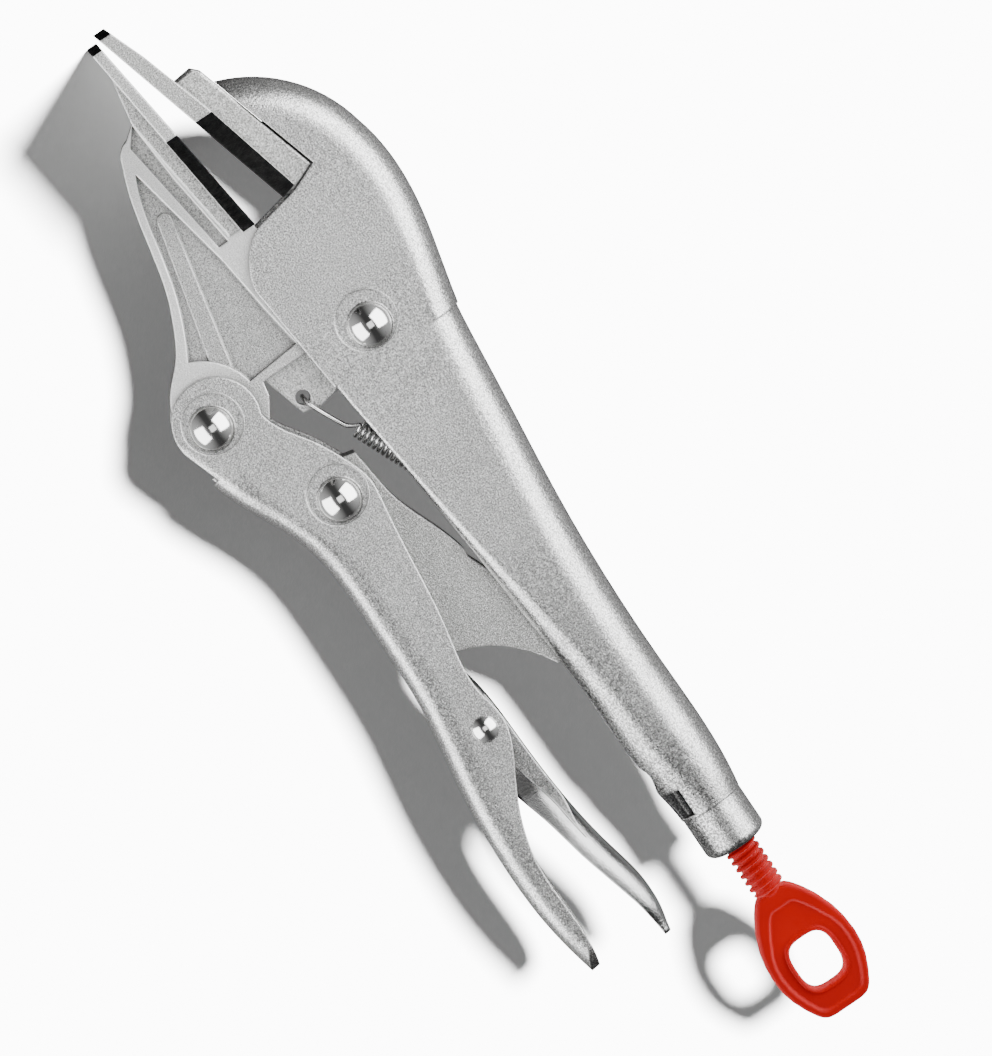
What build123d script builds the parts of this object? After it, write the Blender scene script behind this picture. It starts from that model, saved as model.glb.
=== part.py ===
from build123d import *

import os
from math import atan, cos, pi, radians, sin, tan

# Locking pliers with wide flat sheet-metal jaws, drawn closed and locked.
# Origin: middle of the line where the two lips meet. +X runs to the tail, parallel to the
# adjusting screw, +Y points to the fixed handle's spine, +Z is the pivot axes' direction.
# The tool is symmetric about Z = 0. Sizes in millimetres.

os.makedirs("parts", exist_ok=True)

# pivots of the four-bar linkage
JAW_PIVOT = (70.1, 12.2)
HANDLE_PIVOT = (69.6, -21.7)
LINK_PIVOT = (93.1, -9.9)
LEVER_PIVOT = (142.5, -11.6)
LINK_END = (138.0, 12.5)
SCREW_Y = 14.9

# widths across the pivots, as half widths from the middle plane
FIXED_OUT = 8.0
FIXED_IN = 6.0
HANDLE_OUT = 7.8
HANDLE_IN = 6.0
JAW_HALF = 5.7
LINK_HALF = 3.5
LEVER_HALF = 5.6
FIXED_SHEET = 2.0
TUBE_WALL = 2.15
TUBE_SIDE_WALL = 1.85
TUBE_WALL_SHIFT = 1.0
LEVER_SHEET = 1.4

# rivets
MAIN_SHANK = 3.4
MAIN_DOME = 4.3
SMALL_SHANK = 1.5
SMALL_DOME = 2.5
RUNNING = 0.05
DIMPLE_R = 5.6
DIMPLE_DEPTH = 0.5

# jaws
JAW_WIDTH = 80.0
LIP_GAP = 0.5
FIXED_FACE_ANGLE = 15.6
MOVING_FACE_ANGLE = 7.2
FULL_WIDTH_DEPTH = 22.0
THROAT_DEPTH = 42.6
LIP_CHAMFER = 1.4
MOVING_LIP_SETBACK = 1.5
STEM_SIDE = 5.0

# adjusting screw and the threaded collar that holds it
SCREW_R = 3.25
ROOT_R = 2.55
PITCH = 1.5
COLLAR_R = 6.1
COLLAR_START = 178.4
COLLAR_END = 187.6
LINK_TIP = LINK_END[0] + 4.0
OPEN_PIVOT_GAP = 2.9
SCREW_TIP = LINK_TIP + OPEN_PIVOT_GAP
RING_START = 198.9
RING_END = 224.4
RING_HOLE = (213.8, 14.9)
RING_HALF = 2.3

FAR = 60.0


def on_fixed_face(x):
    """Height of the fixed jaw's gripping face at x."""
    return LIP_GAP / 2 + x * tan(radians(FIXED_FACE_ANGLE))


def on_moving_face(x):
    """Height of the moving jaw's gripping face at x."""
    return -LIP_GAP / 2 + x * tan(radians(MOVING_FACE_ANGLE))


def jaw_plan(front):
    """Plan outline of a jaw plate that starts at x = front: wide lips, then a taper to the stem."""
    half = JAW_WIDTH / 2
    back = THROAT_DEPTH + 4
    return [
        (front, half - LIP_CHAMFER),
        (front + LIP_CHAMFER, half),
        (FULL_WIDTH_DEPTH, half),
        (back, STEM_SIDE),
        (back, -STEM_SIDE),
        (FULL_WIDTH_DEPTH, -half),
        (front + LIP_CHAMFER, -half),
        (front, -half + LIP_CHAMFER),
    ]


# ---------------------------------------------------------------- fixed handle
# Rows of the rear tube: x, spine y, open-side y, half width, spine radius, open-side radius.
TUBE_ROWS = [
    (75.0, 27.6, 0.9, 7.8, 6.2, 0.5),
    (85.0, 26.4, 1.9, 7.85, 6.4, 0.6),
    (95.0, 25.4, 3.0, 7.9, 6.6, 0.8),
    (105.0, 24.3, 3.9, 7.9, 6.7, 1.4),
    (116.0, 23.2, 4.8, 7.9, 6.9, 2.4),
    (126.0, 22.5, 5.5, 7.8, 7.0, 3.5),
    (136.0, 22.1, 6.1, 7.7, 7.1, 4.6),
    (154.0, 22.1, 6.6, 7.5, 7.0, 6.0),
    (166.0, 22.2, 7.0, 7.2, 6.9, 6.4),
    (173.0, 21.8, 8.0, 6.7, 6.4, 6.3),
    (COLLAR_START, 21.1, 8.6, 6.2, 6.1, 6.1),
]


def tube_profile(spine, open_side, half, spine_r, open_r):
    """Closed outline of the tube at one station: y along the local x, z along the local y."""
    k = 1 - cos(pi / 4)
    with BuildLine() as line:
        Line((open_side + open_r, half), (spine - spine_r, half))
        ThreePointArc(
            (spine - spine_r, half),
            (spine - k * spine_r, half - k * spine_r),
            (spine, half - spine_r),
        )
        Line((spine, half - spine_r), (spine, -half + spine_r))
        ThreePointArc(
            (spine, -half + spine_r),
            (spine - k * spine_r, -half + k * spine_r),
            (spine - spine_r, -half),
        )
        Line((spine - spine_r, -half), (open_side + open_r, -half))
        ThreePointArc(
            (open_side + open_r, -half),
            (open_side + k * open_r, -half + k * open_r),
            (open_side, -half + open_r),
        )
        Line((open_side, -half + open_r), (open_side, half - open_r))
        ThreePointArc(
            (open_side, half - open_r),
            (open_side + k * open_r, half - k * open_r),
            (open_side + open_r, half),
        )
    return line.line


RELIEF_DEPTH = 2.4
NOTCH_FRONT = (18.8, 13.6)
NOTCH_BACK = (40.4, 20.1)
THROAT_TOP = (42.6, 14.7)
THROAT_LOW = (44.6, 5.1)

with BuildPart() as fixed_handle:
    # head: the folded front end that wraps the jaws' pivot
    with BuildSketch():
        with BuildLine():
            ThreePointArc(NOTCH_FRONT, (26.0, 24.6), (39.0, 31.3))
            Spline((39.0, 31.3), (47.0, 32.6), (55.0, 32.3), (65.0, 30.4), (76.0, 27.8))
            Line((76.0, 27.8), (76.0, 0.7))
            Line((76.0, 0.7), (53.5, -1.4))
            ThreePointArc((53.5, -1.4), (49.6, 0.0), (THROAT_LOW[0], THROAT_LOW[1]))
            Line(THROAT_LOW, THROAT_TOP)
            Line(THROAT_TOP, NOTCH_BACK)
            Line(NOTCH_BACK, NOTCH_FRONT)
        make_face()
    extrude(amount=FIXED_OUT, both=True)
    spine_edges = (
        fixed_handle.edges()
        .filter_by(lambda e: abs(abs((e @ 0.5).Z) - FIXED_OUT) < 0.01)
        .filter_by(lambda e: (e @ 0.5).Y > 22.0 and (e @ 0.5).X < 75.0)
    )
    fillet(spine_edges, radius=6.3)
    # rear: the channel closes into a tube and shrinks to the collar
    for row in TUBE_ROWS:
        with BuildSketch(Plane.YZ.offset(row[0])):
            add(tube_profile(*row[1:]))
            make_face()
    loft()

with BuildPart() as handle_cavity:
    with BuildSketch():
        with BuildLine():
            ThreePointArc((23.5, 12.0), (28.4, 23.2), (39.6, 29.3))
            Spline((39.6, 29.3), (47.0, 30.6), (55.0, 30.3), (65.0, 28.4), (76.0, 25.8))
            Line((76.0, 25.8), (76.0, -8.0))
            Line((76.0, -8.0), (23.5, -8.0))
            Line((23.5, -8.0), (23.5, 12.0))
        make_face()
    extrude(amount=FIXED_IN, both=True)
    inner_spine = (
        handle_cavity.edges()
        .filter_by(lambda e: abs(abs((e @ 0.5).Z) - FIXED_IN) < 0.01)
        .filter_by(lambda e: (e @ 0.5).Y > 20.0 and (e @ 0.5).X < 75.0)
    )
    fillet(inner_spine, radius=4.3)
    for x, spine, open_side, half, spine_r, open_r in TUBE_ROWS:
        inner_open_r = max(open_r - TUBE_WALL, 0.4)
        with BuildSketch(Plane.YZ.offset(x - TUBE_WALL_SHIFT)):
            add(
                tube_profile(
                    spine - TUBE_WALL,
                    open_side + TUBE_WALL,
                    half - TUBE_SIDE_WALL,
                    spine_r - TUBE_WALL,
                    inner_open_r,
                )
            )
            make_face()
    loft()

# long slot along the handle's open side, narrower where the sheet curls in
with BuildPart() as handle_slot:
    with BuildSketch(Plane.XZ.offset(-11.0)):
        with BuildLine():
            Polyline((70.0, 5.5), (98.0, 5.5), (150.0, 4.3), (165.0, 3.6))
            ThreePointArc((165.0, 3.6), (171.8, 0), (165.0, -3.6))
            Polyline((165.0, -3.6), (150.0, -4.3), (98.0, -5.5), (70.0, -5.5), (70.0, 5.5))
        make_face()
    extrude(amount=25.0)

with BuildPart() as fixed_handle_finished:
    add(fixed_handle.part)
    add(handle_cavity.part, mode=Mode.SUBTRACT)
    add(handle_slot.part, mode=Mode.SUBTRACT)
    # coined seats under the rivet's heads
    for side in (1, -1):
        with BuildSketch(Plane.XY.offset(side * FIXED_OUT)):
            with Locations((JAW_PIVOT[0] - 1.1, JAW_PIVOT[1] - 0.1)):
                Circle(DIMPLE_R)
        extrude(amount=-side * DIMPLE_DEPTH, mode=Mode.SUBTRACT)
    with BuildSketch():
        with Locations(JAW_PIVOT):
            Circle(MAIN_SHANK)
    extrude(amount=FAR, both=True, mode=Mode.SUBTRACT)
    # round window for the tail bore, clear of the screw
    with BuildSketch(Plane.YZ.offset(170.0)):
        with Locations((SCREW_Y, 0)):
            Circle(SCREW_R + 0.6)
    extrude(amount=10.0, mode=Mode.SUBTRACT)
    # relief on each side of the seam, between the rolled sheet and the collar
    for side in (1, -1):
        with BuildSketch(Plane.XY.offset(side * RELIEF_DEPTH)):
            with Locations((175.0, 8.4)):
                Rectangle(5.6, 5.6)
        extrude(amount=side * FIXED_OUT, mode=Mode.SUBTRACT)
    # lanced tab inside the spine, where the spring hooks on
    with BuildSketch():
        with BuildLine():
            Polyline((123.5, 21.5), (130.5, 21.0), (129.5, 15.4), (125.5, 15.4), (123.5, 21.5))
        make_face()
    extrude(amount=0.8, both=True)
    with BuildSketch():
        with Locations((127.4, 17.2)):
            Circle(1.0)
    extrude(amount=2.0, both=True, mode=Mode.SUBTRACT)

fixed_handle_finished.part.label = "fixed_handle"
export_step(fixed_handle_finished.part, "parts/fixed_handle.step")

# ------------------------------------------------------------------- fixed jaw
with BuildPart() as fixed_jaw:
    # wide plate
    with BuildSketch():
        with BuildLine():
            Polyline(
                (0, on_fixed_face(0)),
                (THROAT_DEPTH - 0.2, on_fixed_face(THROAT_DEPTH - 0.2)),
                (THROAT_DEPTH - 1.0, on_fixed_face(THROAT_DEPTH) + 2.8),
                (20.5, on_fixed_face(20.5) + 3.4),
                (7.6, on_fixed_face(7.6) + 3.0),
                (0, on_fixed_face(0) + 2.2),
                (0, on_fixed_face(0)),
            )
        make_face()
    extrude(amount=FAR, both=True)
    with BuildSketch(Plane.XZ):
        Polygon(*jaw_plan(0), align=None)
    extrude(amount=FAR, both=True, mode=Mode.INTERSECT)
    # stiffening block on the plate's back
    with BuildSketch():
        with BuildLine():
            Polyline(
                (14.9, on_fixed_face(14.9) + 2.5),
                (14.4, 11.3),
                (15.6, 12.5),
                (NOTCH_BACK[0] - 0.3, NOTCH_BACK[1] - 0.3),
                (THROAT_TOP[0] - 0.3, THROAT_TOP[1] - 0.1),
                (THROAT_DEPTH - 0.6, on_fixed_face(THROAT_DEPTH) + 1.0),
                (14.9, on_fixed_face(14.9) + 2.5),
            )
        make_face()
    extrude(amount=FIXED_OUT - 0.5, both=True)
    # tang that fills the channel behind the block
    with BuildSketch():
        with BuildLine():
            Polyline(
                (26.5, 13.0),
                (40.0, 13.5),
                (42.2, 13.0),
                (47.0, 16.0),
                (57.0, 22.6),
                (57.0, 25.2),
                (47.0, 25.8),
                (38.0, 23.4),
                (30.0, 17.2),
                (26.5, 13.0),
            )
        make_face()
    extrude(amount=FIXED_IN - 0.1, both=True)
    block_edges = fixed_jaw.edges().filter_by(
        lambda e: abs(abs((e @ 0.5).Z) - (FIXED_OUT - 0.5)) < 0.01
        and (e @ 0.5).Y > on_fixed_face((e @ 0.5).X) + 4.0
        and (e @ 0.5).X < 38.0
    )
    fillet(block_edges, radius=0.6)
fixed_jaw.part.label = "fixed_jaw"
export_step(fixed_jaw.part, "parts/fixed_jaw.step")

# ------------------------------------------------------------ threaded collar
with BuildPart() as threaded_collar:
    with BuildSketch(Plane.YZ.offset(COLLAR_START)):
        with Locations((SCREW_Y, 0)):
            Circle(COLLAR_R)
    extrude(amount=COLLAR_END - COLLAR_START)
    fillet(threaded_collar.edges().group_by(Axis.X)[-1], radius=1.6)
    with BuildSketch(Plane.YZ.offset(COLLAR_START)):
        with Locations((SCREW_Y, 0)):
            Circle(SCREW_R + RUNNING)
    extrude(amount=COLLAR_END, mode=Mode.SUBTRACT)
threaded_collar.part.label = "threaded_collar"
export_step(threaded_collar.part, "parts/threaded_collar.step")

# ------------------------------------------------------------ adjusting screw
THREAD_START = 163.0
THREAD_TURNS = int((RING_START - THREAD_START) / PITCH)
with BuildPart() as adjusting_screw:
    with BuildSketch(Plane.XY):
        with BuildLine():
            groove_points = [(SCREW_TIP, 0), (SCREW_TIP, 2.2), (SCREW_TIP + 0.8, 3.0)]
            groove_points += [(THREAD_START - 1.0, 3.0), (THREAD_START - 0.4, ROOT_R)]
            for turn in range(THREAD_TURNS):
                start = THREAD_START + turn * PITCH
                groove_points += [
                    (start + 0.10, ROOT_R),
                    (start + 0.60, SCREW_R),
                    (start + 0.85, SCREW_R),
                    (start + 1.35, ROOT_R),
                ]
            groove_points += [(RING_START + 1.5, ROOT_R), (RING_START + 1.5, 0), (SCREW_TIP, 0)]
            Polyline(*groove_points)
        make_face()
    revolve(axis=Axis.X)
shank = adjusting_screw.part.moved(Location((0, SCREW_Y, 0)))

with BuildPart() as screw_finished:
    with BuildSketch():
        with BuildLine():
            Line((RING_START - 0.6, SCREW_Y - 2.9), (RING_START - 0.6, SCREW_Y + 2.9))
            Spline(
                (RING_START - 0.6, SCREW_Y + 2.9),
                (202.0, SCREW_Y + 5.7),
                (207.4, SCREW_Y + 8.1),
                (213.0, SCREW_Y + 8.9),
                (218.0, SCREW_Y + 8.1),
                (RING_END, SCREW_Y + 5.2),
            )
            Line((RING_END, SCREW_Y + 5.2), (RING_END, SCREW_Y - 5.2))
            Spline(
                (RING_END, SCREW_Y - 5.2),
                (218.0, SCREW_Y - 8.1),
                (213.0, SCREW_Y - 8.9),
                (207.4, SCREW_Y - 8.1),
                (202.0, SCREW_Y - 5.7),
                (RING_START - 0.6, SCREW_Y - 2.9),
            )
        make_face()
    extrude(amount=RING_HALF, both=True)
    fillet(screw_finished.edges().filter_by(Axis.Z).group_by(Axis.X)[-1], radius=1.5)
    with BuildSketch():
        with Locations(RING_HOLE):
            RectangleRounded(10.2, 8.5, 3.4)
    extrude(amount=FAR, both=True, mode=Mode.SUBTRACT)
    ring_rims = screw_finished.edges().filter_by(
        lambda e: abs(abs((e @ 0.5).Z) - RING_HALF) < 0.01 and (e @ 0.5).X > RING_START
    )
    fillet(ring_rims, radius=0.6)
    add(shank)
screw_finished.part.label = "adjusting_screw"
export_step(screw_finished.part, "parts/adjusting_screw.step")

# ------------------------------------------------------------------ moving jaw
PAD_HALF = 7.0
TAB_HALF = 2.0
BOSS_B = 6.6
BOSS_A = 9.0
SPRING_HOLE = (74.6, -5.1)

with BuildPart() as moving_jaw:
    # wide plate
    with BuildSketch():
        with BuildLine():
            Polyline(
                (0, on_moving_face(0)),
                (THROAT_DEPTH + 1.0, on_moving_face(THROAT_DEPTH + 1.0)),
                (THROAT_DEPTH + 1.0, on_moving_face(THROAT_DEPTH) - 2.4),
                (0, on_moving_face(0) - 1.9),
                (0, on_moving_face(0)),
            )
        make_face()
    extrude(amount=FAR, both=True)
    with BuildSketch(Plane.XZ):
        Polygon(*jaw_plan(MOVING_LIP_SETBACK), align=None)
    extrude(amount=FAR, both=True, mode=Mode.INTERSECT)
    # pad under the plate
    with BuildSketch():
        with BuildLine():
            Polyline(
                (4.5, on_moving_face(4.5) - 1.0),
                (16.5, -2.9),
                (29.0, -1.5),
                (43.0, 0.3),
                (43.0, on_moving_face(43.0) - 1.0),
                (4.5, on_moving_face(4.5) - 1.0),
            )
        make_face()
    extrude(amount=PAD_HALF, both=True)
    # forged body from the plate to the two pivots
    with BuildSketch():
        with BuildLine():
            Polyline((15.0, 0.0), (16.6, -2.6), (18.8, -5.4))
            ThreePointArc((18.8, -5.4), (19.8, -7.3), (21.8, -8.4))
            Spline(
                (21.8, -8.4),
                (32.4, -11.8),
                (39.4, -13.3),
                (46.3, -15.2),
                (51.3, -17.4),
                (56.0, -20.2),
                (60.2, -24.2),
                (64.6, -26.4),
            )
            Polyline(
                (64.6, -26.4),
                (69.6, -21.7),
                (75.6, -19.0),
                (74.2, -12.2),
                (70.6, -9.9),
                (68.0, -9.4),
                (68.0, 4.0),
                (74.0, 6.0),
                (70.1, 12.2),
                (63.0, 15.2),
                (52.0, 9.0),
                (46.0, 5.4),
                (42.0, 4.6),
                (15.0, 0.0),
            )
        make_face()
        with Locations(JAW_PIVOT):
            Circle(BOSS_A)
        with Locations(HANDLE_PIVOT):
            Circle(BOSS_B)
    extrude(amount=JAW_HALF, both=True)
    # thin ear for the spring's hook
    with BuildSketch():
        with BuildLine():
            Polyline(
                (66.0, -9.7),
                (76.9, -6.6),
                (77.7, -3.3),
                (76.6, 3.0),
                (73.0, 8.0),
                (66.0, 6.0),
                (66.0, -9.7),
            )
        make_face()
    extrude(amount=TAB_HALF, both=True)
    # recessed web inside the rim, and the recessed band under the plate
    for side in (1, -1):
        with BuildSketch(Plane.XY.offset(side * JAW_HALF)):
            with BuildLine():
                Polyline((24.5, -7.4), (45.9, -3.2), (57.0, -1.9), (65.6, -0.6), (66.6, -11.3))
                ThreePointArc((66.6, -11.3), (61.6, -13.4), (57.6, -18.6))
                Spline(
                    (57.6, -18.6),
                    (52.4, -15.9),
                    (46.8, -13.7),
                    (39.6, -11.8),
                    (32.6, -10.3),
                    (24.5, -7.4),
                )
            make_face()
        extrude(amount=-side * 1.0, mode=Mode.SUBTRACT)
        with BuildSketch(Plane.XY.offset(side * JAW_HALF)):
            with BuildLine():
                Polyline(
                    (17.0, -3.0),
                    (20.3, -5.6),
                    (39.7, -2.9),
                    (43.6, -2.4),
                    (43.6, -0.4),
                    (29.0, -2.2),
                    (17.0, -3.0),
                )
            make_face()
        extrude(amount=-side * 0.8, mode=Mode.SUBTRACT)
        # plain raised panel inside the web
        with BuildSketch(Plane.XY.offset(side * (JAW_HALF - 1.0))):
            with BuildLine():
                ThreePointArc((33.9, -9.1), (33.0, -7.4), (34.7, -6.5))
                Polyline((34.7, -6.5), (63.4, -12.6), (60.6, -15.6), (33.9, -9.1))
            make_face()
        extrude(amount=side * 0.5)
    # pivot holes and the spring's hole
    with BuildSketch():
        with Locations(JAW_PIVOT, HANDLE_PIVOT):
            Circle(MAIN_SHANK + RUNNING)
        with Locations(SPRING_HOLE):
            Circle(1.4)
    extrude(amount=FAR, both=True, mode=Mode.SUBTRACT)
moving_jaw.part.label = "moving_jaw"
export_step(moving_jaw.part, "parts/moving_jaw.step")

# --------------------------------------------------------------- moving handle
HANDLE_BEND_R = 3.0
HANDLE_TAIL = (191.6, -20.2)

with BuildPart() as moving_handle:
    # tall blank with the bent lower edges
    with BuildSketch():
        with BuildLine():
            Polyline((58.0, -34.5), (58.0, 5.0), (200.0, 5.0), (200.0, -18.0))
            Spline(
                (58.0, -34.5),
                (72.0, -29.7),
                (79.6, -27.0),
                (84.0, -25.3),
                (93.8, -20.9),
                (100.0, -19.1),
                (108.0, -18.4),
                (118.7, -18.5),
                (134.0, -19.2),
                (149.7, -21.6),
                (164.0, -22.9),
                (180.0, -22.4),
                HANDLE_TAIL,
                (200.0, -18.0),
            )
        make_face()
    extrude(amount=HANDLE_OUT, both=True)
    web_edges = moving_handle.edges().filter_by(
        lambda e: abs(abs((e @ 0.5).Z) - HANDLE_OUT) < 0.01
        and (e @ 0.5).Y < -16.0
        and e.length > 60.0
    )
    fillet(web_edges, radius=HANDLE_BEND_R)
    # trim to the side outline
    with BuildSketch():
        with BuildLine():
            ThreePointArc((72.4, -12.9), (61.2, -21.7), (71.2, -28.2))
            Polyline((71.2, -28.2), (78.0, -25.9), (79.0, -29.0), (193.0, -29.0), (190.8, -18.5))
            Spline(
                (190.8, -18.5),
                (180.5, -17.5),
                (168.0, -17.4),
                (160.8, -15.6),
                (153.4, -12.2),
                (147.0, -8.8),
                (142.0, -7.7),
                (136.5, -8.6),
                (122.6, -7.0),
                (112.5, -5.6),
                (98.5, -3.8),
                (93.2, -3.3),
                (87.6, -5.0),
                (81.2, -8.3),
                (76.6, -11.4),
                (72.4, -12.9),
            )
        make_face()
    extrude(amount=FAR, both=True, mode=Mode.INTERSECT)
    # round the tail off in plan
    with BuildSketch(Plane.XZ):
        with Locations(((52.0 + HANDLE_TAIL[0]) / 2, 0)):
            RectangleRounded(HANDLE_TAIL[0] - 52.0, 2 * HANDLE_OUT, 5.5)
    extrude(amount=FAR, both=True, mode=Mode.INTERSECT)
    # channel, open towards the fixed handle and cut through at the front ears
    with BuildSketch():
        with BuildLine():
            Polyline((55.0, 5.0), (55.0, -32.0), (78.6, -32.0), (79.6, -25.0))
            Spline(
                (79.6, -25.0),
                (84.4, -23.6),
                (94.2, -19.0),
                (100.4, -17.3),
                (108.0, -16.6),
                (118.7, -16.7),
                (134.0, -17.4),
                (149.7, -19.8),
                (164.0, -21.1),
                (178.0, -20.6),
                (186.0, -18.6),
            )
            Polyline((186.0, -18.6), (186.0, 5.0), (55.0, 5.0))
        make_face()
    extrude(amount=HANDLE_IN, both=True, mode=Mode.SUBTRACT)
    for side in (1, -1):
        with BuildSketch(Plane.XY.offset(side * HANDLE_OUT)):
            with Locations(
                (HANDLE_PIVOT[0] - 0.6, HANDLE_PIVOT[1] + 0.6),
                (LINK_PIVOT[0] - 1.0, LINK_PIVOT[1] + 0.2),
            ):
                Circle(DIMPLE_R)
        extrude(amount=-side * DIMPLE_DEPTH, mode=Mode.SUBTRACT)
    with BuildSketch():
        with Locations(HANDLE_PIVOT, LINK_PIVOT):
            Circle(MAIN_SHANK)
        with Locations(LEVER_PIVOT):
            Circle(SMALL_SHANK)
    extrude(amount=FAR, both=True, mode=Mode.SUBTRACT)
moving_handle.part.label = "moving_handle"
export_step(moving_handle.part, "parts/moving_handle.step")

# ----------------------------------------------------------------- toggle link
with BuildPart() as toggle_link:
    with BuildSketch():
        with BuildLine():
            Spline((88.0, -2.9), (92.4, -2.4), (99.1, -1.4), (106.2, 1.2), (113.6, 3.6))
            Polyline((113.6, 3.6), (115.2, 3.4), (119.2, 5.1))
            Spline((119.2, 5.1), (127.0, 8.2), (134.0, 16.2))
            ThreePointArc((134.0, 16.2), (139.6, 16.4), (LINK_TIP, LINK_END[1]))
            ThreePointArc((LINK_TIP, LINK_END[1]), (141.8, 9.0), (140.5, 6.0))
            Spline((140.5, 6.0), (136.2, 3.2), (132.0, -1.0), (128.6, -8.0))
            Spline((128.6, -8.0), (126.0, -12.6), (118.5, -14.3), (106.0, -14.6))
            Line((106.0, -14.6), (96.0, -15.9))
            ThreePointArc((96.0, -15.9), (88.4, -14.6), (86.4, -9.9))
            Line((86.4, -9.9), (88.0, -2.9))
        make_face()
    extrude(amount=LINK_HALF, both=True)
    with BuildSketch():
        with Locations(LINK_PIVOT):
            Circle(MAIN_SHANK + RUNNING)
    extrude(amount=FAR, both=True, mode=Mode.SUBTRACT)
toggle_link.part.label = "toggle_link"
export_step(toggle_link.part, "parts/toggle_link.step")

# --------------------------------------------------------------- release lever
with BuildPart() as release_lever:
    with BuildSketch():
        with BuildLine():
            Spline(
                (131.6, -9.2),
                (142.3, -7.5),
                (151.9, -7.3),
                (164.8, -6.3),
                (175.0, -4.6),
                (184.0, -2.9),
                (193.2, -4.4),
            )
            Line((193.2, -4.4), (193.4, -5.6))
            Spline(
                (193.4, -5.6),
                (186.0, -6.4),
                (179.8, -8.1),
                (172.0, -10.2),
                (163.4, -11.9),
                (156.9, -13.8),
                (150.0, -15.4),
                (143.0, -15.8),
            )
            ThreePointArc((143.0, -15.8), (139.4, -14.6), (138.3, -11.6))
            Polyline((138.3, -11.6), (131.4, -10.6), (131.6, -9.2))
        make_face()
    extrude(amount=LEVER_HALF, both=True)
    with BuildSketch():
        with BuildLine():
            Spline(
                (137.0, -9.9),
                (142.3, -8.9),
                (151.9, -8.7),
                (164.8, -7.7),
                (175.0, -6.1),
                (184.0, -4.6),
                (188.0, -4.8),
            )
            Polyline((188.0, -4.8), (190.0, -25.0), (137.0, -25.0), (137.0, -9.9))
        make_face()
    extrude(amount=LEVER_HALF - LEVER_SHEET, both=True, mode=Mode.SUBTRACT)
    with BuildSketch():
        with Locations(LEVER_PIVOT):
            Circle(SMALL_SHANK + RUNNING)
    extrude(amount=FAR, both=True, mode=Mode.SUBTRACT)
release_lever.part.label = "release_lever"
export_step(release_lever.part, "parts/release_lever.step")


# ---------------------------------------------------------------------- rivets
def make_rivet(name, centre, shank_r, dome_r, seat, dome_height):
    """A solid rivet with a domed head on each side, written as its own part."""
    crown = (dome_height**2 + dome_r**2) / (2 * dome_height)
    half_angle = atan(dome_r / (crown - dome_height)) / 2
    top = seat + dome_height
    middle = (crown * sin(half_angle), top - crown * (1 - cos(half_angle)))
    with BuildPart() as rivet:
        with BuildSketch(Plane.XZ):
            with BuildLine():
                Line((0, -top), (0, top))
                ThreePointArc((0, top), middle, (dome_r, seat))
                Polyline((dome_r, seat), (shank_r, seat), (shank_r, -seat), (dome_r, -seat))
                ThreePointArc((dome_r, -seat), (middle[0], -middle[1]), (0, -top))
            make_face()
        revolve(axis=Axis.Z)
    placed = rivet.part.moved(Location((centre[0], centre[1], 0)))
    placed.label = name
    export_step(placed, f"parts/{name}.step")


make_rivet("jaw_rivet", JAW_PIVOT, MAIN_SHANK, MAIN_DOME, FIXED_OUT - DIMPLE_DEPTH, 2.4)
make_rivet("handle_rivet", HANDLE_PIVOT, MAIN_SHANK, MAIN_DOME, HANDLE_OUT - DIMPLE_DEPTH, 2.4)
make_rivet("link_rivet", LINK_PIVOT, MAIN_SHANK, MAIN_DOME, HANDLE_OUT - DIMPLE_DEPTH, 2.4)
make_rivet("lever_rivet", LEVER_PIVOT, SMALL_SHANK, SMALL_DOME, HANDLE_OUT, 1.1)

# -------------------------------------------------------------- tension spring
SPRING_WIRE_R = 0.4
SPRING_COIL_R = 1.9
COIL_FRONT = (84.5, 0.3)
COIL_BACK = (121.5, 15.9)
coil_line = Vector(COIL_BACK[0] - COIL_FRONT[0], COIL_BACK[1] - COIL_FRONT[1], 0)
coil_plane = Plane(origin=(COIL_FRONT[0], COIL_FRONT[1], 0), z_dir=coil_line)
with BuildPart() as tension_spring:
    with BuildSketch(coil_plane):
        Circle(SPRING_COIL_R + SPRING_WIRE_R)
        Circle(SPRING_COIL_R - SPRING_WIRE_R, mode=Mode.SUBTRACT)
    extrude(amount=coil_line.length)
tension_spring.part.label = "tension_spring"
export_step(tension_spring.part, "parts/tension_spring.step")
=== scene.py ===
import math

import bmesh
import bpy
from mathutils import Matrix, Vector


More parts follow.
